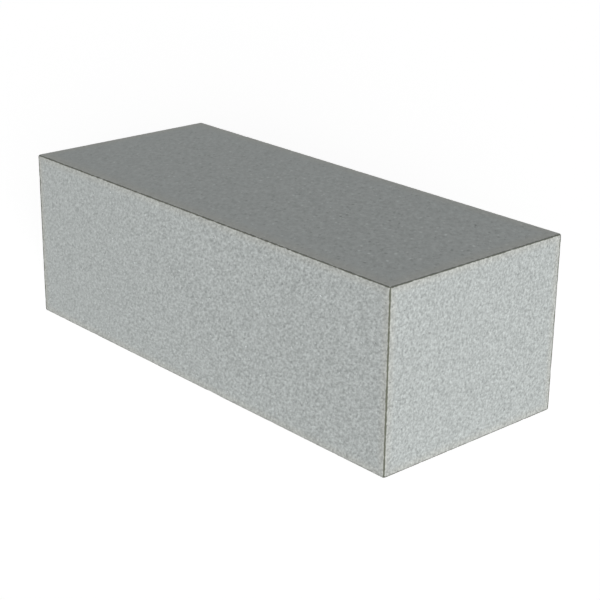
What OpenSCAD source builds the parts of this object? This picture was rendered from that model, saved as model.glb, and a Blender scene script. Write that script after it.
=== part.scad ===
// A solid block of aerated concrete, sawn square on all six sides.
// The origin is the middle of the bed that the block lies on. X runs along the block, Z is up.

/* [Block] */
// Length of the block, along the wall that it is laid in
block_length = 600; // [300:5:900]
// Width of the block, through the wall
block_width = 250; // [75:5:400]
// Height of the block, from bed to bed
block_height = 200; // [75:5:400]

/* [Arrises] */
// Radius that the arrises and corners are eased to
arris_radius = 1.5; // [0.5:0.1:10]

/* [Hidden] */

// Facets to a full turn, on an arris and on a corner
$fn = 48;
// Pale grey of the dry concrete, a little cool
concrete_colour = [0.70, 0.72, 0.71];

// The whole block, and the flat part of its faces between the arrises
block_size = [block_length, block_width, block_height];
flat_size = block_size - 2 * arris_radius * [1, 1, 1];

// The middle of an arris or a corner. A side of 0 is half-way along the block
function arris_centre(sides) = [for (axis = [0:2]) sides[axis] * flat_size[axis] / 2];

// A bar of the block's full size along one axis, and within its arrises across the other two
module sawn_bar(along) {
    cube([for (axis = [0:2]) axis == along ? block_size[axis] : flat_size[axis]], center = true);
}

// The round of one arris, along Z
module arris(length) {
    cylinder(h = length, r = arris_radius, center = true);
}

// The four arrises along each axis
module arrises() {
    for (p = [-1, 1], q = [-1, 1]) {
        translate(arris_centre([0, p, q]))
            rotate([0, 90, 0])
                arris(flat_size.x);
        translate(arris_centre([p, 0, q]))
            rotate([90, 0, 0])
                arris(flat_size.y);
        translate(arris_centre([p, q, 0]))
            arris(flat_size.z);
    }
}

// The eight corners, where three arrises meet
module corners() {
    for (x = [-1, 1], y = [-1, 1], z = [-1, 1])
        translate(arris_centre([x, y, z]))
            sphere(r = arris_radius);
}

// The block itself, in one piece, standing on its lower bed
module concrete_block() {
    color(concrete_colour)
        translate([0, 0, block_height / 2])
            union() {
                for (along = [0:2])
                    sawn_bar(along);
                arrises();
                corners();
            }
}

concrete_block();
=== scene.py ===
"""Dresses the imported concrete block, and sets it in a plain white studio.

The block gets worn arrises, open pores and a sawn concrete finish.
"""

import logging
import math
import random
from collections.abc import Iterable
from dataclasses import dataclass, field
from enum import Enum
from itertools import product

import bmesh
import bpy
from mathutils import Matrix, Vector, noise


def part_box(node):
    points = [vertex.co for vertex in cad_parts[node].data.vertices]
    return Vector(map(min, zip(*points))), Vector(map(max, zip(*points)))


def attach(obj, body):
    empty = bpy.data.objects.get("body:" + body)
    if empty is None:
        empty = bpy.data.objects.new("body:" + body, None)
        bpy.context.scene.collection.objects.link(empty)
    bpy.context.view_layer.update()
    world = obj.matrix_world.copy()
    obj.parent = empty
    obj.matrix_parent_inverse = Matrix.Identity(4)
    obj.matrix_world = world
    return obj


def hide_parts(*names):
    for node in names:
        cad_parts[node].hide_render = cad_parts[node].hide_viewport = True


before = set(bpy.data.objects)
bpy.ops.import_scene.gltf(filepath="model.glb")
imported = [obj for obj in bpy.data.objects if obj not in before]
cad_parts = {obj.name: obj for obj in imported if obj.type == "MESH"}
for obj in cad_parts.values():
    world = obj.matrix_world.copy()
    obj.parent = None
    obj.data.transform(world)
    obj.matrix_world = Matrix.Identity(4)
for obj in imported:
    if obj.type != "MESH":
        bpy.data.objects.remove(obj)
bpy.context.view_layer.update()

log = logging.getLogger("concrete_block")

BLOCK_NODE = "concrete_block"
BLOCK_PIECE = "sawn_block"
BLOCK_BODY = "root"
MM = 0.001
NOISE_MEAN = 0.5

Colour = tuple[float, float, float]
Turn = tuple[float, float, float]
Socket = bpy.types.NodeSocket
Feed = Socket | float | tuple[float, ...]


class Axis(Enum):
    """The block's own directions: along its length, through its width, and up."""

    LENGTH = 0
    WIDTH = 1
    HEIGHT = 2

    @property
    def unit(self) -> Vector:
        """A step of one along this axis."""
        return Vector(1.0 if axis is self else 0.0 for axis in Axis)


class Side(Enum):
    """The six sawn faces, each as the axis that it faces along and which way."""

    RIGHT_END = (Axis.LENGTH, 1)
    LEFT_END = (Axis.LENGTH, -1)
    BACK = (Axis.WIDTH, 1)
    FRONT = (Axis.WIDTH, -1)
    UPPER_BED = (Axis.HEIGHT, 1)
    LOWER_BED = (Axis.HEIGHT, -1)

    @property
    def axis(self) -> Axis:
        """The axis that the face looks along."""
        return self.value[0]

    @property
    def way(self) -> int:
        """1 if the face looks up its axis, and -1 if it looks down it."""
        return self.value[1]


class Mark(Enum):
    """What the mesh tells the finish at each vertex, by the name of the attribute that holds it.

    ARRIS_DISTANCE is the distance from the nearest arris in metres, and less where the dark line painted
    along it reaches further.
    BED_SHARE is 1 on the beds and 0 on the sides and ends.
    END_SHARE is 1 on the ends and 0 on the sides.
    ALONG_SHARE runs from 0 at the left end to 1 at the right end.
    PORE_CUP is 1 at the bottom of a modelled pore, where its painted shade is darkest.
    """

    ARRIS_DISTANCE = "arris_distance"
    BED_SHARE = "bed_share"
    END_SHARE = "end_share"
    ALONG_SHARE = "along_share"
    PORE_CUP = "pore_cup"


class Sum(Enum):
    """The sums that the finishes do, by the shader's own names for them."""

    ADD = "ADD"
    SUBTRACT = "SUBTRACT"
    MULTIPLY = "MULTIPLY"
    MULTIPLY_ADD = "MULTIPLY_ADD"
    MAXIMUM = "MAXIMUM"


class Mixed(Enum):
    """What is mixed, by the shader's own names for it."""

    COLOURS = "RGBA"
    NUMBERS = "FLOAT"


class Ending(Enum):
    """The nodes that a sheet can end in, for a piece's surface and for the light all round."""

    SURFACE = "ShaderNodeOutputMaterial"
    SURROUND = "ShaderNodeOutputWorld"


def opaque(colour: Colour) -> tuple[float, ...]:
    """A colour as the shader takes it, with nothing seen through it."""
    return (*colour, 1.0)


def grey(level: float) -> tuple[float, ...]:
    """A plain grey as the shader takes it."""
    return opaque((level, level, level))


@dataclass(frozen=True)
class Layers:
    """How cloudy noise is built up from coarse to fine.

    Attributes:
        detail: How many finer layers are added to the coarsest.
        roughness: How strong each finer layer is beside the one before it.
    """

    detail: float
    roughness: float


class ShaderSheet:
    """The nodes of a material or a world, with a short method for each kind of node that is used."""

    def __init__(self, owner: bpy.types.Material | bpy.types.World) -> None:
        """Starts an empty sheet.

        Args:
            owner: The material or world that the sheet belongs to.
        """
        owner.use_nodes = True
        self.tree = owner.node_tree
        self.tree.nodes.clear()

    def add(self, kind: str, **settings: object) -> bpy.types.Node:
        """Adds one node.

        Args:
            kind: Blender's name for the node.
            settings: Its properties.

        Returns:
            The node.
        """
        made = self.tree.nodes.new(kind)
        for name, value in settings.items():
            setattr(made, name, value)
        return made

    def feed(self, socket: Socket, value: Feed) -> None:
        """Links another node's output to a socket, or sets the socket to a plain value.

        Args:
            socket: The input to fill.
            value: What fills it.
        """
        if isinstance(value, Socket):
            self.tree.links.new(value, socket)
        else:
            socket.default_value = value

    def fill(self, node: bpy.types.Node, *values: Feed) -> None:
        """Feeds a node's inputs in their own order.

        Args:
            node: The node.
            values: What fills its inputs.
        """
        for socket, value in zip(node.inputs, values):
            self.feed(socket, value)

    def sum(self, kind: Sum, *values: Feed) -> Socket:
        """Does one sum.

        Args:
            kind: Which sum.
            values: Its terms, in order.

        Returns:
            The result.
        """
        made = self.add("ShaderNodeMath", operation=kind.value)
        self.fill(made, *values)
        return made.outputs["Value"]

    def ramp(self, value: Feed, at_zero: Feed, at_one: Feed) -> Socket:
        """Eases a value from nothing to all between two limits, which may run downwards.

        Args:
            value: The value to ease.
            at_zero: The limit that gives 0.
            at_one: The limit that gives 1.

        Returns:
            The eased value.
        """
        made = self.add("ShaderNodeMapRange", interpolation_type="SMOOTHSTEP")
        self.feed(made.inputs["Value"], value)
        self.feed(made.inputs["From Min"], at_zero)
        self.feed(made.inputs["From Max"], at_one)
        return made.outputs["Result"]

    def mix(self, kind: Mixed, share: Feed, first: Feed, second: Feed) -> Socket:
        """Mixes two colours or two numbers.

        Args:
            kind: What is mixed.
            share: How much of the second one there is.
            first: The one at a share of 0.
            second: The one at a share of 1.

        Returns:
            The mixture.
        """
        made = self.add("ShaderNodeMix", data_type=kind.value)
        self.feed(made.inputs["Factor"], share)
        self.feed(made.inputs["A"], first)
        self.feed(made.inputs["B"], second)
        return made.outputs["Result"]

    def shade(self, colour: Feed, tone: Feed) -> Socket:
        """Makes a colour lighter or darker by a factor.

        Args:
            colour: The colour at a tone of 1.
            tone: The factor.

        Returns:
            The shaded colour.
        """
        made = self.add("ShaderNodeVectorMath", operation="SCALE")
        self.feed(made.inputs["Vector"], colour)
        self.feed(made.inputs["Scale"], tone)
        return made.outputs["Vector"]

    def noise(self, place: Feed, grain: float, layers: Layers) -> Socket:
        """Cloudy noise about a mean of nothing.

        Args:
            place: Where on the piece.
            grain: The size of the coarsest grains, in metres.
            layers: How the noise is built up.

        Returns:
            The noise, from about -0.5 to 0.5.
        """
        made = self.add("ShaderNodeTexNoise")
        self.feed(made.inputs["Vector"], place)
        self.feed(made.inputs["Scale"], 1.0 / grain)
        self.feed(made.inputs["Detail"], layers.detail)
        self.feed(made.inputs["Roughness"], layers.roughness)
        return self.sum(Sum.SUBTRACT, made.outputs["Fac"], NOISE_MEAN)

    def cells(self, place: Feed, spacing: float) -> bpy.types.Node:
        """Scattered points, about one to a cell.

        Args:
            place: Where on the piece.
            spacing: The cells' size, in metres.

        Returns:
            The node. Its Distance is to the nearest point, in cells, and its Color is that point's own.
        """
        made = self.add("ShaderNodeTexVoronoi")
        self.feed(made.inputs["Vector"], place)
        self.feed(made.inputs["Scale"], 1.0 / spacing)
        return made

    def place(self) -> Socket:
        """Where on the piece, in metres."""
        return self.add("ShaderNodeTexCoord").outputs["Object"]

    def turned(self, place: Feed, turn: Turn, drawn_out: float = 1.0) -> Socket:
        """Draws a pattern out along the first axis, and then turns it.

        Args:
            place: Where on the piece.
            turn: How far the pattern is turned about each axis, in radians.
            drawn_out: How much longer it is along the first axis than across it.

        Returns:
            The turned place, in metres.
        """
        made = self.add("ShaderNodeMapping")
        self.feed(made.inputs["Vector"], place)
        self.feed(made.inputs["Scale"], (1.0 / drawn_out, 1.0, 1.0))
        self.feed(made.inputs["Rotation"], turn)
        return made.outputs["Vector"]

    def attribute(self, mark: Mark) -> Socket:
        """A number that the mesh carries at its vertices."""
        return self.add("ShaderNodeAttribute", attribute_name=mark.value).outputs["Fac"]

    def seen(self) -> Socket:
        """Tells what the eye sees, directly or in a reflection, from what only throws light.

        Returns:
            1 for a ray that the eye follows, and otherwise 0.
        """
        path = self.add("ShaderNodeLightPath").outputs
        mirrored = self.sum(Sum.MAXIMUM, path["Is Glossy Ray"], path["Is Transmission Ray"])
        return self.sum(Sum.MAXIMUM, path["Is Camera Ray"], mirrored)

    def finish(self, ending: Ending, shader: Socket) -> None:
        """Makes a shader what the sheet's owner shows."""
        self.feed(self.add(ending.value).inputs["Surface"], shader)


@dataclass(frozen=True)
class Speckle:
    """The cut grains, pores and pale flecks that one sort of sawn face shows.

    Attributes:
        grain: Size of the cut grains, in metres.
        grain_tone: How far the grains go lighter and darker.
        spacing: Spacing of the pores and flecks, in metres.
        least, most: Their radius, as shares of the spacing.
        spot_tone: How much darker a pore can be, or a fleck lighter.
        lean: How far the saw's way leans in the face, in radians about each axis.
        drawn_out: How much longer the saw leaves the grains along its way than across it.
        core: Share of a pore's or fleck's radius within which it has its full tone.
        layers: How the grains are built up.
    """

    grain: float
    grain_tone: float
    spacing: float
    least: float
    most: float
    spot_tone: float
    lean: Turn = (0.0, 0.0, 0.0)
    drawn_out: float = 1.0
    core: float = 0.5
    layers: Layers = Layers(detail=2.0, roughness=0.6)

    def change(self, sheet: ShaderSheet, on_block: Feed, turn: Turn) -> Socket:
        """How far the speckle lightens or darkens the colour.

        Args:
            sheet: The sheet to draw on.
            on_block: Where on the piece.
            turn: How the pattern is turned in the block, in radians about each axis.

        Returns:
            The change of tone, about a mean of nothing.
        """
        place = sheet.turned(sheet.turned(on_block, self.lean), turn, self.drawn_out)
        grains = sheet.noise(place, self.grain, self.layers)
        grain_change = sheet.sum(Sum.MULTIPLY, grains, self.grain_tone)
        return sheet.sum(Sum.MULTIPLY_ADD, self.spots(sheet, place), self.spot_tone, grain_change)

    def spots(self, sheet: ShaderSheet, place: Feed) -> Socket:
        """Round pores and flecks of mixed sizes and strengths, too fine to model.

        Args:
            sheet: The sheet to draw on.
            place: Where on the piece.

        Returns:
            Down to -1 in a pore, up to 1 in a fleck, and 0 between them.
        """
        cells = sheet.cells(place, self.spacing).outputs
        own = sheet.add("ShaderNodeSeparateColor")
        sheet.feed(own.inputs["Color"], cells["Color"])
        radius = sheet.sum(Sum.MULTIPLY_ADD, own.outputs["Red"], self.most - self.least, self.least)
        core = sheet.sum(Sum.MULTIPLY, radius, self.core)
        round_spot = sheet.ramp(cells["Distance"], radius, core)
        strength = sheet.mix(Mixed.NUMBERS, own.outputs["Green"], -1.0, 1.0)
        return sheet.sum(Sum.MULTIPLY, round_spot, strength)


@dataclass(frozen=True)
class SawnConcrete:
    """Dry aerated concrete as the saw leaves it: a pale cool grey, speckled by cut grains and fine pores.

    Attributes:
        face: Colour of the sawn faces.
        rubbed: Warmer colour beside the arrises.
        side_reach, bed_reach: How far from an arris the warmer colour fades out, in metres, on the
            sides and ends, and on the beds.
        side_line, bed_line: Dark colours of the line painted along an arris, on the sides and on the beds.
        arris_dark, arris_clear: Distances from an arris at which its painted dark line is full, and is
            gone, in metres.
        ragged, ragged_size: How far the dark line's border wanders, and the size of its wanderings, in
            metres.
        ragged_layers: How the wanderings are built up.
        sides: Speckle of the two long sides.
        ends: Speckle of the ends, which are cut across and a little rougher.
        beds: Speckle of the beds, which the saw leaves smoother.
        turn: How the patterns are turned in the block, in radians about each axis.
        dust, dust_tone: Size of the finest grains, in metres, and how far they go lighter and darker.
        dust_layers: How the finest grains are built up.
        bed_dust: Share of the finest grains that the saw leaves on a bed.
        cloud, cloud_tone: Size of the cloudy patches, in metres, and how far they go lighter and darker.
        cloud_layers: How the patches are built up.
        cup_shade: How much painted shade darkens the bottom of a modelled pore.
        bed_evened: Share of a bed's speckle that handling has rubbed off at an arris.
        bed_even_reach: How far from an arris that fades out, in metres.
        left_evened: Share of the speckle that handling has rubbed off at the left end.
        left_reach: How far along the block that fades out, as a share of its length.
        side_relief, bed_relief: Relief of the sides and ends, and of the beds, in millimetres for a full
            change of tone.
        roughness: Roughness of the faces.
        polish: How much smoother the cut grains are than the pores, for a full change of tone.
        shine: Specular level of the faces.
    """

    face: Colour = (0.466, 0.493, 0.485)
    rubbed: Colour = (0.481, 0.495, 0.471)
    side_reach: float = 12.0 * MM
    bed_reach: float = 22.0 * MM
    side_line: Colour = (0.124, 0.131, 0.102)
    bed_line: Colour = (0.123, 0.131, 0.124)
    arris_dark: float = 1.00 * MM
    arris_clear: float = 1.48 * MM
    ragged: float = 1.5 * MM
    ragged_size: float = 5.0 * MM
    ragged_layers: Layers = Layers(detail=2.0, roughness=0.6)
    sides: Speckle = Speckle(
        grain=2.7 * MM, grain_tone=1.36, spacing=3.2 * MM, least=0.06, most=0.32, spot_tone=0.30,
        lean=(0.0, 0.49, 0.0), drawn_out=1.40,
    )
    ends: Speckle = Speckle(
        grain=2.9 * MM, grain_tone=1.40, spacing=3.4 * MM, least=0.06, most=0.32, spot_tone=0.31,
    )
    beds: Speckle = Speckle(
        grain=4.8 * MM, grain_tone=0.56, spacing=5.0 * MM, least=0.16, most=0.46, spot_tone=0.27,
        lean=(0.0, 0.0, 0.73), drawn_out=1.50,
    )
    turn: Turn = (0.61, 0.87, 0.43)
    dust: float = 1.1 * MM
    dust_tone: float = 0.40
    dust_layers: Layers = Layers(detail=1.0, roughness=0.5)
    bed_dust: float = 0.60
    cloud: float = 55.0 * MM
    cloud_tone: float = 0.01
    cloud_layers: Layers = Layers(detail=3.0, roughness=0.5)
    cup_shade: float = 0.12
    bed_evened: float = 0.50
    bed_even_reach: float = 48.0 * MM
    left_evened: float = 0.25
    left_reach: float = 0.75
    side_relief: float = 0.25
    bed_relief: float = 0.10
    roughness: float = 0.90
    polish: float = 0.50
    shine: float = 0.20

    def material(self) -> bpy.types.Material:
        """Builds the concrete's material.

        Returns:
            The material, for a mesh that carries all the marks.
        """
        made = bpy.data.materials.new("sawn_concrete")
        sheet = ShaderSheet(made)
        on_block = sheet.place()
        place = sheet.turned(on_block, self.turn)
        bed = sheet.attribute(Mark.BED_SHARE)
        distance = sheet.attribute(Mark.ARRIS_DISTANCE)
        speckle = self._speckle(sheet, on_block, bed, distance)
        ground = sheet.shade(self._ground(sheet, bed, distance), self._tone(sheet, place, bed, speckle))
        # A thin dark line is painted along each arris.
        line_colour = sheet.mix(Mixed.COLOURS, bed, opaque(self.side_line), opaque(self.bed_line))
        colour = sheet.mix(Mixed.COLOURS, self._arris_line(sheet, place, distance), ground, line_colour)
        roughness = sheet.sum(Sum.MULTIPLY_ADD, speckle, -self.polish, self.roughness)
        shader = sheet.add("ShaderNodeBsdfPrincipled")
        sheet.feed(shader.inputs["Base Color"], colour)
        sheet.feed(shader.inputs["Roughness"], roughness)
        sheet.feed(shader.inputs["Normal"], self._relief(sheet, bed, speckle))
        sheet.feed(shader.inputs["Specular IOR Level"], self.shine)
        sheet.finish(Ending.SURFACE, shader.outputs["BSDF"])
        return made

    def _speckle(self, sheet: ShaderSheet, on_block: Feed, bed: Feed, distance: Feed) -> Socket:
        """The speckle that each sort of face has, where handling has left it.

        Args:
            sheet: The sheet to draw on.
            on_block: Where on the piece.
            bed: The share of a bed there.
            distance: The distance from the nearest arris, in metres.

        Returns:
            The change of tone, about a mean of nothing.
        """
        sides = self.sides.change(sheet, on_block, self.turn)
        ends = self.ends.change(sheet, on_block, self.turn)
        beds = self.beds.change(sheet, on_block, self.turn)
        upright = sheet.mix(Mixed.NUMBERS, sheet.attribute(Mark.END_SHARE), sides, ends)
        bed_left = self._left(sheet, distance, self.bed_even_reach, self.bed_evened)
        faces = sheet.mix(Mixed.NUMBERS, bed, upright, sheet.sum(Sum.MULTIPLY, beds, bed_left))
        along = sheet.attribute(Mark.ALONG_SHARE)
        along_left = self._left(sheet, along, self.left_reach, self.left_evened)
        return sheet.sum(Sum.MULTIPLY, faces, along_left)

    @staticmethod
    def _left(sheet: ShaderSheet, distance: Feed, reach: float, rubbed_off: float) -> Socket:
        """How much of the speckle is left where handling has rubbed a face smoother.

        Args:
            sheet: The sheet to draw on.
            distance: The distance from where it is rubbed most.
            reach: The distance at which that has faded out.
            rubbed_off: The share of the speckle that is gone where it is rubbed most.

        Returns:
            The share of the speckle that is left.
        """
        return sheet.sum(Sum.MULTIPLY_ADD, sheet.ramp(distance, reach, 0.0), -rubbed_off, 1.0)

    def _ground(self, sheet: ShaderSheet, bed: Feed, distance: Feed) -> Socket:
        """The plain colour under the speckle, which is warmer beside the arrises.

        Args:
            sheet: The sheet to draw on.
            bed: The share of a bed there.
            distance: The distance from the nearest arris, in metres.

        Returns:
            The colour.
        """
        reach = sheet.mix(Mixed.NUMBERS, bed, self.side_reach, self.bed_reach)
        beside = sheet.ramp(distance, reach, self.arris_clear)
        return sheet.mix(Mixed.COLOURS, beside, opaque(self.face), opaque(self.rubbed))

    def _tone(self, sheet: ShaderSheet, place: Feed, bed: Feed, speckle: Feed) -> Socket:
        """The factor that speckles the colour, and darkens the modelled pores with painted shade.

        Args:
            sheet: The sheet to draw on.
            place: Where on the piece.
            bed: The share of a bed there.
            speckle: The larger grains, pores and flecks, about a mean of nothing.

        Returns:
            The factor, about a mean of 1.
        """
        dust_left = sheet.mix(Mixed.NUMBERS, bed, 1.0, self.bed_dust)
        dust = sheet.sum(Sum.MULTIPLY, sheet.noise(place, self.dust, self.dust_layers), dust_left)
        clouds = sheet.noise(place, self.cloud, self.cloud_layers)
        # Painted shade in the modelled pores, darkest at their bottoms.
        cup = sheet.attribute(Mark.PORE_CUP)
        tone = sheet.sum(Sum.ADD, speckle, 1.0)
        changes = ((dust, self.dust_tone), (clouds, self.cloud_tone), (cup, -self.cup_shade))
        for change, strength in changes:
            tone = sheet.sum(Sum.MULTIPLY_ADD, change, strength, tone)
        return tone

    def _arris_line(self, sheet: ShaderSheet, place: Feed, distance: Feed) -> Socket:
        """The dark line painted along the arrises, with a ragged border.

        Args:
            sheet: The sheet to draw on.
            place: Where on the piece.
            distance: The distance from the nearest arris, in metres.

        Returns:
            The share of the dark line, from 0 to 1.
        """
        wander = sheet.noise(place, self.ragged_size, self.ragged_layers)
        border = sheet.sum(Sum.MULTIPLY_ADD, wander, self.ragged, distance)
        return sheet.ramp(border, self.arris_clear, self.arris_dark)

    def _relief(self, sheet: ShaderSheet, bed: Feed, speckle: Feed) -> Socket:
        """The fine relief, with pale grains standing up and dark pores sunk.

        Args:
            sheet: The sheet to draw on.
            bed: The share of a bed there.
            speckle: The grains, pores and flecks, about a mean of nothing.

        Returns:
            The bumped normal.
        """
        relief = sheet.mix(Mixed.NUMBERS, bed, self.side_relief, self.bed_relief)
        bump = sheet.add("ShaderNodeBump")
        sheet.feed(bump.inputs["Strength"], 1.0)
        sheet.feed(bump.inputs["Distance"], MM)
        sheet.feed(bump.inputs["Height"], sheet.sum(Sum.MULTIPLY, speckle, relief))
        return bump.outputs["Normal"]


@dataclass(frozen=True)
class WhitePaper:
    """The studio's white ground: plain white to the eye, with the block's own soft shadow on it.

    Attributes:
        albedo: How much light the paper throws back on the block.
        glow: Share of the white that shadow can't take away.
        lit: Share of the light on the paper that it shows to the eye.
    """

    albedo: float = 0.25
    glow: float = 0.82
    lit: float = 0.41

    def material(self) -> bpy.types.Material:
        """Builds the paper's material.

        Returns:
            The material.
        """
        made = bpy.data.materials.new("white_paper")
        sheet = ShaderSheet(made)
        plain = sheet.add("ShaderNodeBsdfDiffuse")
        sheet.feed(plain.inputs["Color"], grey(self.albedo))
        shown = sheet.add("ShaderNodeBsdfDiffuse")
        sheet.feed(shown.inputs["Color"], grey(self.lit))
        glow = sheet.add("ShaderNodeEmission")
        sheet.feed(glow.inputs["Strength"], self.glow)
        white = sheet.add("ShaderNodeAddShader")
        sheet.fill(white, shown.outputs["BSDF"], glow.outputs["Emission"])
        choice = sheet.add("ShaderNodeMixShader")
        sheet.fill(choice, sheet.seen(), plain.outputs["BSDF"], white.outputs["Shader"])
        sheet.finish(Ending.SURFACE, choice.outputs["Shader"])
        return made


def stored(name: str, mesh: bmesh.types.BMesh) -> bpy.types.Mesh:
    """Keeps a finished working mesh as one of Blender's own, and frees it.

    Args:
        name: What the mesh is called.
        mesh: The working mesh.

    Returns:
        The mesh.
    """
    data = bpy.data.meshes.new(name)
    mesh.to_mesh(data)
    mesh.free()
    return data


def put_in_scene(name: str, data: bpy.types.ID) -> bpy.types.Object:
    """Puts a mesh, a light or a camera in the scene.

    Args:
        name: What its object is called.
        data: The mesh, light or camera.

    Returns:
        The object.
    """
    made = bpy.data.objects.new(name, data)
    bpy.context.scene.collection.objects.link(made)
    return made


@dataclass
class Pore:
    """One open pore in a face.

    Attributes:
        face: The patch of mesh at its bottom.
        middle: The middle of its mouth.
        inward: The way into the block.
        radius: Radius of its mouth, in metres.
    """

    face: bmesh.types.BMFace
    middle: Vector
    inward: Vector
    radius: float

    @classmethod
    def drawn(cls, face: bmesh.types.BMFace, radius: float, stray: float, draw: random.Random) -> "Pore":
        """Draws a pore's place within its patch.

        Args:
            face: The patch.
            radius: Radius of the pore's mouth, in metres.
            stray: How far it may lie from the patch's middle along each side, in metres.
            draw: The draw that scatters it.

        Returns:
            The pore.
        """
        first = (face.verts[1].co - face.verts[0].co).normalized()
        second = face.normal.cross(first)
        moved = first * draw.uniform(-stray, stray) + second * draw.uniform(-stray, stray)
        return cls(face, face.calc_center_median() + moved, -face.normal.copy(), radius)

    def place_ring(self, share: float, sunk: float, cup: float, layer: bmesh.types.BMLayerItem) -> None:
        """Moves the patch's rim to a ring of the pore.

        Args:
            share: The ring's radius, as a share of the mouth's.
            sunk: How far it lies under the mouth, as a share of the mouth's radius.
            cup: The share of painted shade there, which the finish is told of.
            layer: Where that is kept.
        """
        around = self.face.calc_center_median()
        bottom = self.middle + self.inward * sunk * self.radius
        for vertex in self.face.verts:
            way = vertex.co - around
            way -= self.inward * way.dot(self.inward)
            vertex.co = bottom + way.normalized() * share * self.radius
            vertex[layer] = cup


@dataclass
class ConcreteBlock:
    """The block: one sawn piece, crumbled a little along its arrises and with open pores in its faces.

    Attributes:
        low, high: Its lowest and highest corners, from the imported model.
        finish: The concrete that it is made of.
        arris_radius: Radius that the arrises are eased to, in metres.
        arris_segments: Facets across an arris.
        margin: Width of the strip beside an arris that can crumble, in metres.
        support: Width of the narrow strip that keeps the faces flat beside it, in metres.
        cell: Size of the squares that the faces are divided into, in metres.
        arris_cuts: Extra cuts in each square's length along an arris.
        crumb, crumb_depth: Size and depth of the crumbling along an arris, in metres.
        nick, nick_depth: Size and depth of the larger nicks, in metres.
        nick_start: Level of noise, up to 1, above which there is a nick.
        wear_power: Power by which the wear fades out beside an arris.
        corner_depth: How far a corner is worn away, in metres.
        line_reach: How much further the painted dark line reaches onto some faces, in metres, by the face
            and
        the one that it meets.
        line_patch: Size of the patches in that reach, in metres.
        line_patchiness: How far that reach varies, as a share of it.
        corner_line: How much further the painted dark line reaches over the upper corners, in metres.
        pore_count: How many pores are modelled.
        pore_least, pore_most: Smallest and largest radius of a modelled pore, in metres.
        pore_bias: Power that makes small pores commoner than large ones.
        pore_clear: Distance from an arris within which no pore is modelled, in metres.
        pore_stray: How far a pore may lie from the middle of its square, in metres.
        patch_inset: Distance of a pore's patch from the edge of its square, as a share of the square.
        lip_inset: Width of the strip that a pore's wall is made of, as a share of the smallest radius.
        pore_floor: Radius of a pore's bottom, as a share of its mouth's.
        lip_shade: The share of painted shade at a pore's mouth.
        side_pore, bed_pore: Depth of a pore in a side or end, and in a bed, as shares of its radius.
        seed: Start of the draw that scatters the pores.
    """

    low: Vector
    high: Vector
    finish: SawnConcrete
    arris_radius: float = 1.5 * MM
    arris_segments: int = 4
    margin: float = 2.7 * MM
    support: float = 0.6 * MM
    cell: float = 6.0 * MM
    arris_cuts: int = 3
    crumb: float = 3.0 * MM
    crumb_depth: float = 0.62 * MM
    nick: float = 13.0 * MM
    nick_depth: float = 1.8 * MM
    nick_start: float = 0.35
    wear_power: int = 3
    corner_depth: float = 0.8 * MM
    line_reach: dict[tuple[Side, Side], float] = field(default_factory=lambda: {
        (Side.FRONT, Side.RIGHT_END): 0.20 * MM,
        (Side.RIGHT_END, Side.FRONT): 0.10 * MM,
        (Side.FRONT, Side.LEFT_END): 1.40 * MM,
        (Side.FRONT, Side.UPPER_BED): 0.08 * MM,
        (Side.RIGHT_END, Side.BACK): 1.05 * MM,
        (Side.RIGHT_END, Side.LOWER_BED): 0.36 * MM,
        (Side.RIGHT_END, Side.UPPER_BED): 0.03 * MM,
        (Side.UPPER_BED, Side.RIGHT_END): 0.20 * MM,
    })
    line_patch: float = 9.0 * MM
    line_patchiness: float = 0.9
    corner_line: float = 0.65 * MM
    pore_count: int = 3000
    pore_least: float = 0.45 * MM
    pore_most: float = 1.15 * MM
    pore_bias: int = 2
    pore_clear: float = 8.1 * MM
    pore_stray: float = 1.2 * MM
    patch_inset: float = 0.25
    lip_inset: float = 0.125
    pore_floor: float = 0.62
    lip_shade: float = 0.4
    side_pore: float = 0.60
    bed_pore: float = 0.16
    seed: int = 7

    SHEET_MAP = "OFBake"
    SHARP_ANGLE = math.radians(35.0)
    PARALLEL = 0.999
    SQUARE_CORNERS = 4

    @property
    def size(self) -> Vector:
        """Length, width and height."""
        return self.high - self.low

    @property
    def centre(self) -> Vector:
        """The middle of the block."""
        return (self.low + self.high) / 2.0

    def depths(self, point: Vector) -> Vector:
        """How deep a point lies under the nearer of the two faces along each axis."""
        offset = point - self.centre
        return Vector(half - abs(part) for half, part in zip(self.size / 2.0, offset))

    def nearest_sides(self, point: Vector) -> list[Side]:
        """The six faces, from the one that a point lies nearest to."""
        half, offset = self.size / 2.0, point - self.centre
        return sorted(Side, key=lambda side: half[side.axis.value] - side.way * offset[side.axis.value])

    def build(self) -> bpy.types.Object:
        """Models the block and dresses it.

        Returns:
            The finished piece.
        """
        mesh = self.rough_out()
        self.divide_faces(mesh)
        self.mark_faces(mesh)
        self.wear_arrises(mesh)
        self.open_pores(mesh)
        self.unfold(mesh)
        self.smooth(mesh)
        piece = put_in_scene(BLOCK_PIECE, stored(BLOCK_NODE + "_dressed", mesh))
        self.dress(piece)
        return piece

    def dress(self, piece: bpy.types.Object) -> None:
        """Gives the piece its finish."""
        piece.data.materials.append(self.finish.material())

    def rough_out(self) -> bmesh.types.BMesh:
        """Saws the block to size and eases its arrises.

        Returns:
            A closed mesh with plain faces.
        """
        mesh = bmesh.new()
        bmesh.ops.create_cube(mesh, size=1.0)
        bmesh.ops.scale(mesh, vec=self.size, verts=mesh.verts)
        bmesh.ops.translate(mesh, vec=self.centre, verts=mesh.verts)
        bmesh.ops.bevel(
            mesh, geom=mesh.edges[:], offset=self.arris_radius, offset_type="OFFSET",
            segments=self.arris_segments, profile=0.5, affect="EDGES", material=-1,
        )
        return mesh

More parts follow.
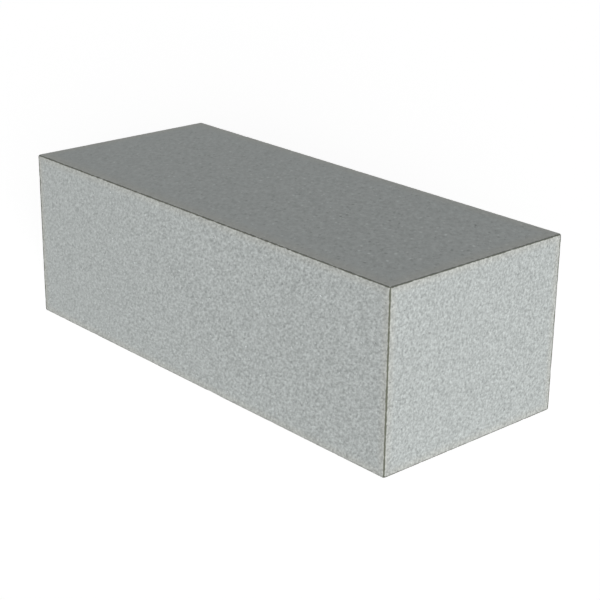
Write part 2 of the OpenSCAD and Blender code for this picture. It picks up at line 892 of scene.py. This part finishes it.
    def divide_faces(self, mesh: bmesh.types.BMesh) -> None:
        """Divides the faces into squares, with narrow strips and finer cuts beside each arris.

        Args:
            mesh: The block.
        """
        for side, depth in product(Side, (self.margin, self.margin + self.support)):
            unit = side.axis.unit
            place = self.centre + unit * side.way * (self.size[side.axis.value] / 2.0 - depth)
            everything = mesh.verts[:] + mesh.edges[:] + mesh.faces[:]
            bmesh.ops.bisect_plane(mesh, geom=everything, plane_co=place, plane_no=unit)
        for axis in Axis:
            run = self.size[axis.value] - 2.0 * (self.margin + self.support)
            parallel = [edge for edge in mesh.edges if self.runs_along(edge, axis)]
            long_edges = [edge for edge in parallel if edge.calc_length() > run / 2.0]
            bmesh.ops.subdivide_edges(mesh, edges=long_edges, cuts=round(run / self.cell) - 1)
        for axis in Axis:
            parallel = [edge for edge in mesh.edges if self.runs_along(edge, axis)]
            beside = [edge for edge in parallel if self.lies_beside_arris(edge, axis)]
            bmesh.ops.subdivide_edges(mesh, edges=beside, cuts=self.arris_cuts)

    @classmethod
    def runs_along(cls, edge: bmesh.types.BMEdge, axis: Axis) -> bool:
        """True if an edge is parallel to an axis."""
        step = edge.verts[1].co - edge.verts[0].co
        return abs(step[axis.value]) > cls.PARALLEL * step.length

    def lies_beside_arris(self, edge: bmesh.types.BMEdge, axis: Axis) -> bool:
        """True if a square's edge lies in the strip beside an arris along an axis.

        Args:
            edge: An edge along the axis.
            axis: The arris's own axis.

        Returns:
            Whether the edge is near both faces that meet in the arris, and not in the strip at its ends.
        """
        depths = self.depths((edge.verts[0].co + edge.verts[1].co) / 2.0)
        inner = self.margin + self.support / 2.0
        outer = self.margin + self.support
        return all(depths[a.value] > outer if a is axis else depths[a.value] < inner for a in Axis)

    def mark_faces(self, mesh: bmesh.types.BMesh) -> None:
        """Stores what the finish reads at each vertex of the faces, all but the painted shade in a pore.

        Args:
            mesh: The block, before it is worn.
        """
        layers = mesh.verts.layers.float
        distance = layers.new(Mark.ARRIS_DISTANCE.value)
        bed = layers.new(Mark.BED_SHARE.value)
        end = layers.new(Mark.END_SHARE.value)
        along = layers.new(Mark.ALONG_SHARE.value)
        for vertex in mesh.verts:
            under_end, under_side, under_bed = [max(0.0, depth) for depth in self.depths(vertex.co)]
            upright = min(under_end, under_side)
            vertex[distance] = self.arris_distance(vertex.co)
            vertex[bed] = upright / (upright + under_bed)
            vertex[end] = under_side / (under_side + under_end)
            vertex[along] = (vertex.co.x - self.low.x) / self.size.x

    def arris_distance(self, point: Vector) -> float:
        """How far a point on a face is from the nearest arris, as the painted dark line has it.

        Args:
            point: The point.

        Returns:
            The distance in metres, which is less where the painted dark line reaches further.
        """
        least, second, third = sorted(max(0.0, depth) for depth in self.depths(point))
        face, neighbour, *_ = self.nearest_sides(point)
        # The painted dark line reaches further at some arrises, and over the upper corners.
        patch = 1.0 + self.line_patchiness * noise.noise(point / self.line_patch)
        reach = patch * self.line_reach.get((face, neighbour), 0.0)
        if point.z > self.centre.z:
            reach += self.corner_line * max(0.0, 1.0 - third / self.arris_radius)
        return least + second - reach

    def wear_arrises(self, mesh: bmesh.types.BMesh) -> None:
        """Crumbles the arrises, nicks them here and there, and rubs the corners down.

        Args:
            mesh: The block, which only loses material.
        """
        for vertex in mesh.verts:
            near = [max(0.0, 1.0 - depth / self.margin) for depth in self.depths(vertex.co)]
            _, second, _ = sorted(near, reverse=True)
            if second <= 0.0:
                continue
            outward = vertex.co - self.centre
            inward = Vector(-math.copysign(share, part) for share, part in zip(near, outward)).normalized()
            arris = second**self.wear_power * self.arris_loss(vertex.co)
            vertex.co += inward * (arris + math.prod(near) * self.corner_depth)

    def arris_loss(self, point: Vector) -> float:
        """How much an arris has lost at a point, in metres."""
        crumbs = (1.0 + noise.noise(point / self.crumb)) / 2.0
        nicks = max(0.0, noise.noise(point / self.nick) - self.nick_start) / (1.0 - self.nick_start)
        return self.crumb_depth * crumbs + self.nick_depth * nicks

    def open_pores(self, mesh: bmesh.types.BMesh) -> None:
        """Cuts the larger pores into the faces, as round cups of mixed sizes.

        Args:
            mesh: The block, whose whole squares are used.
        """
        layer = mesh.verts.layers.float.new(Mark.PORE_CUP.value)
        draw = random.Random(self.seed)
        chosen = draw.sample([face for face in mesh.faces if self.takes_pore(face)], self.pore_count)
        bmesh.ops.inset_individual(mesh, faces=chosen, thickness=self.patch_inset * self.cell)
        rims = dict.fromkeys(edge for face in chosen for edge in face.edges)
        bmesh.ops.bisect_edges(mesh, edges=list(rims), cuts=1)
        pores = [self.draw_pore(face, draw) for face in chosen]
        # Each ring carries the share of painted shade, which is darkest at a pore's bottom.
        for pore in pores:
            pore.place_ring(share=1.0, sunk=0.0, cup=self.lip_shade, layer=layer)
        bmesh.ops.inset_individual(mesh, faces=chosen, thickness=self.lip_inset * self.pore_least)
        for pore in pores:
            in_bed = self.nearest_sides(pore.middle)[0].axis is Axis.HEIGHT
            depth = self.bed_pore if in_bed else self.side_pore
            pore.place_ring(share=self.pore_floor, sunk=depth, cup=1.0, layer=layer)

    def takes_pore(self, face: bmesh.types.BMFace) -> bool:
        """True if a patch is a whole square, clear of the arrises."""
        _, clear, _ = sorted(self.depths(face.calc_center_median()))
        return len(face.verts) == self.SQUARE_CORNERS and clear > self.pore_clear

    def draw_pore(self, face: bmesh.types.BMFace, draw: random.Random) -> Pore:
        """Draws a pore's size, and then its place.

        Args:
            face: The patch that it is cut into.
            draw: The draw that scatters the pores.

        Returns:
            The pore.
        """
        spread = self.pore_most - self.pore_least
        radius = self.pore_least + spread * draw.random() ** self.pore_bias
        return Pore.drawn(face, radius, self.pore_stray, draw)

    def unfold(self, mesh: bmesh.types.BMesh) -> None:
        """Lays the six faces out side by side on one sheet, as a map for painted copies of the finish.

        Args:
            mesh: The block.
        """
        length, width, height = self.size
        gap = 2.0 * self.margin
        corners: dict[Side, tuple[float, float]] = {}
        up = gap
        for side, tall in (
            (Side.UPPER_BED, width), (Side.LOWER_BED, width), (Side.FRONT, height), (Side.BACK, height),
        ):
            corners[side] = (gap, up)
            up += tall + gap
        second_column = length + 2.0 * gap
        corners[Side.RIGHT_END] = (second_column, gap)
        corners[Side.LEFT_END] = (second_column, height + 2.0 * gap)
        sheet = max(up, second_column + width + gap)
        layer = mesh.loops.layers.uv.new(self.SHEET_MAP)
        for face in mesh.faces:
            side = self.nearest_sides(face.calc_center_median())[0]
            across, along = [axis.value for axis in Axis if axis is not side.axis]
            left, bottom = corners[side]
            for loop in face.loops:
                place = loop.vert.co - self.low
                loop[layer].uv = ((left + place[across]) / sheet, (bottom + place[along]) / sheet)

    def smooth(self, mesh: bmesh.types.BMesh) -> None:
        """Shades the rounds smoothly, and keeps the lips of the pores sharp.

        Args:
            mesh: The block.
        """
        bmesh.ops.recalc_face_normals(mesh, faces=mesh.faces[:])
        for face in mesh.faces:
            face.smooth = True
        for edge in mesh.edges:
            edge.smooth = edge.calc_face_angle(0.0) < self.SHARP_ANGLE


def direction(azimuth: float, elevation: float) -> Vector:
    """The way to something seen from the block.

    Args:
        azimuth: Turn from the front face towards the right end, in degrees.
        elevation: Height above the horizon, in degrees.

    Returns:
        A step of one towards it.
    """
    turn, rise = math.radians(azimuth), math.radians(elevation)
    return Vector((math.sin(turn) * math.cos(rise), -math.cos(turn) * math.cos(rise), math.sin(rise)))


@dataclass(frozen=True)
class BroadLight:
    """A broad light a long way off.

    Attributes:
        name: What it is called.
        azimuth, elevation: Where it stands as seen from the block, in degrees.
        strength: Its strength.
        fill: Whether it only fills in, without a shadow or a highlight.
        spread: How broad it looks, in degrees.
    """

    name: str
    azimuth: float
    elevation: float
    strength: float
    fill: bool = False
    spread: float = 28.0

    def build(self) -> bpy.types.Object:
        """Sets the light.

        Returns:
            The light.
        """
        lamp = bpy.data.lights.new(self.name, "SUN")
        lamp.energy = self.strength
        lamp.angle = math.radians(self.spread)
        lamp.use_shadow = not self.fill
        light = put_in_scene(self.name, lamp)
        light.visible_glossy = not self.fill
        light.rotation_euler = direction(self.azimuth, self.elevation).to_track_quat("Z", "Y").to_euler()
        return light


@dataclass
class Studio:
    """A plain white studio: a paper floor, a broad low light by the camera and another behind the block.

    Attributes:
        paper: The floor's finish.
        floor_size: Side of the floor, in metres.
        ambient: Level of the light from all round.
        lights: The broad lights.
    """

    paper: WhitePaper
    floor_size: float = 60.0
    ambient: float = 0.080
    lights: tuple[BroadLight, ...] = (
        BroadLight("key_light", azimuth=52.2, elevation=12.5, strength=3.93),
        BroadLight("rear_light", azimuth=233.9, elevation=3.3, strength=3.4, fill=True),
    )

    def build(self, floor_level: float) -> bpy.types.Object:
        """Lays the floor and sets the lights.

        Args:
            floor_level: Height of the floor, in metres.

        Returns:
            The floor.
        """
        mesh = bmesh.new()
        bmesh.ops.create_grid(mesh, x_segments=1, y_segments=1, size=self.floor_size / 2.0)
        bmesh.ops.translate(mesh, vec=Vector((0.0, 0.0, floor_level)), verts=mesh.verts)
        floor = put_in_scene("paper_floor", stored("paper_floor", mesh))
        floor.data.materials.append(self.paper.material())
        for light in self.lights:
            light.build()
        self.surround()
        return floor

    def surround(self) -> None:
        """Sets the light from all round, which the eye sees as white."""
        world = bpy.data.worlds.new("white_studio")
        sheet = ShaderSheet(world)
        glow = sheet.add("ShaderNodeBackground")
        sheet.feed(glow.inputs["Color"], grey(1.0))
        sheet.feed(glow.inputs["Strength"], sheet.mix(Mixed.NUMBERS, sheet.seen(), self.ambient, 1.0))
        sheet.finish(Ending.SURROUND, glow.outputs["Background"])
        bpy.context.scene.world = world


@dataclass(frozen=True)
class Viewpoint:
    """The photograph's viewpoint.

    Attributes:
        place: Where the camera stands, in metres.
        azimuth, elevation: The way back to it along its line of sight, in degrees.
        roll: How far it leans to the left, in degrees.
        lens: Focal length, in millimetres on the sensor.
        sensor: Width of the sensor, in millimetres.
    """

    place: tuple[float, float, float] = (1.2495, -1.0944, 0.6989)
    azimuth: float = 47.966
    elevation: float = 20.737
    roll: float = 0.754
    lens: float = 92.824
    sensor: float = 36.0

    def build(self) -> bpy.types.Object:
        """Makes the camera and has the scene seen through it.

        Returns:
            The camera.
        """
        data = bpy.data.cameras.new("photograph_view")
        data.sensor_width = self.sensor
        data.lens = self.lens
        camera = put_in_scene("photograph_view", data)
        sight = direction(self.azimuth, self.elevation).to_track_quat("Z", "Y").to_matrix()
        lean = Matrix.Rotation(math.radians(self.roll), 3, "Z")
        camera.matrix_world = Matrix.Translation(self.place) @ (sight @ lean).to_4x4()
        bpy.context.scene.camera = camera
        return camera


def main() -> None:
    """Builds the camera, the block and the studio, in that order."""
    logging.basicConfig(level=logging.INFO, format="%(name)s: %(message)s")
    bpy.context.scene.view_settings.view_transform = "Standard"
    Viewpoint().build()
    low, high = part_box(BLOCK_NODE)
    block = ConcreteBlock(low, high, SawnConcrete()).build()
    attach(block, BLOCK_BODY)
    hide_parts(BLOCK_NODE)
    block.data.calc_loop_triangles()
    log.info("%s has %d triangles", block.name, len(block.data.loop_triangles))
    floor = Studio(WhitePaper()).build(low.z)
    log.info("%s lies at %.3f m", floor.name, low.z)


if __name__ == "__main__":
    main()
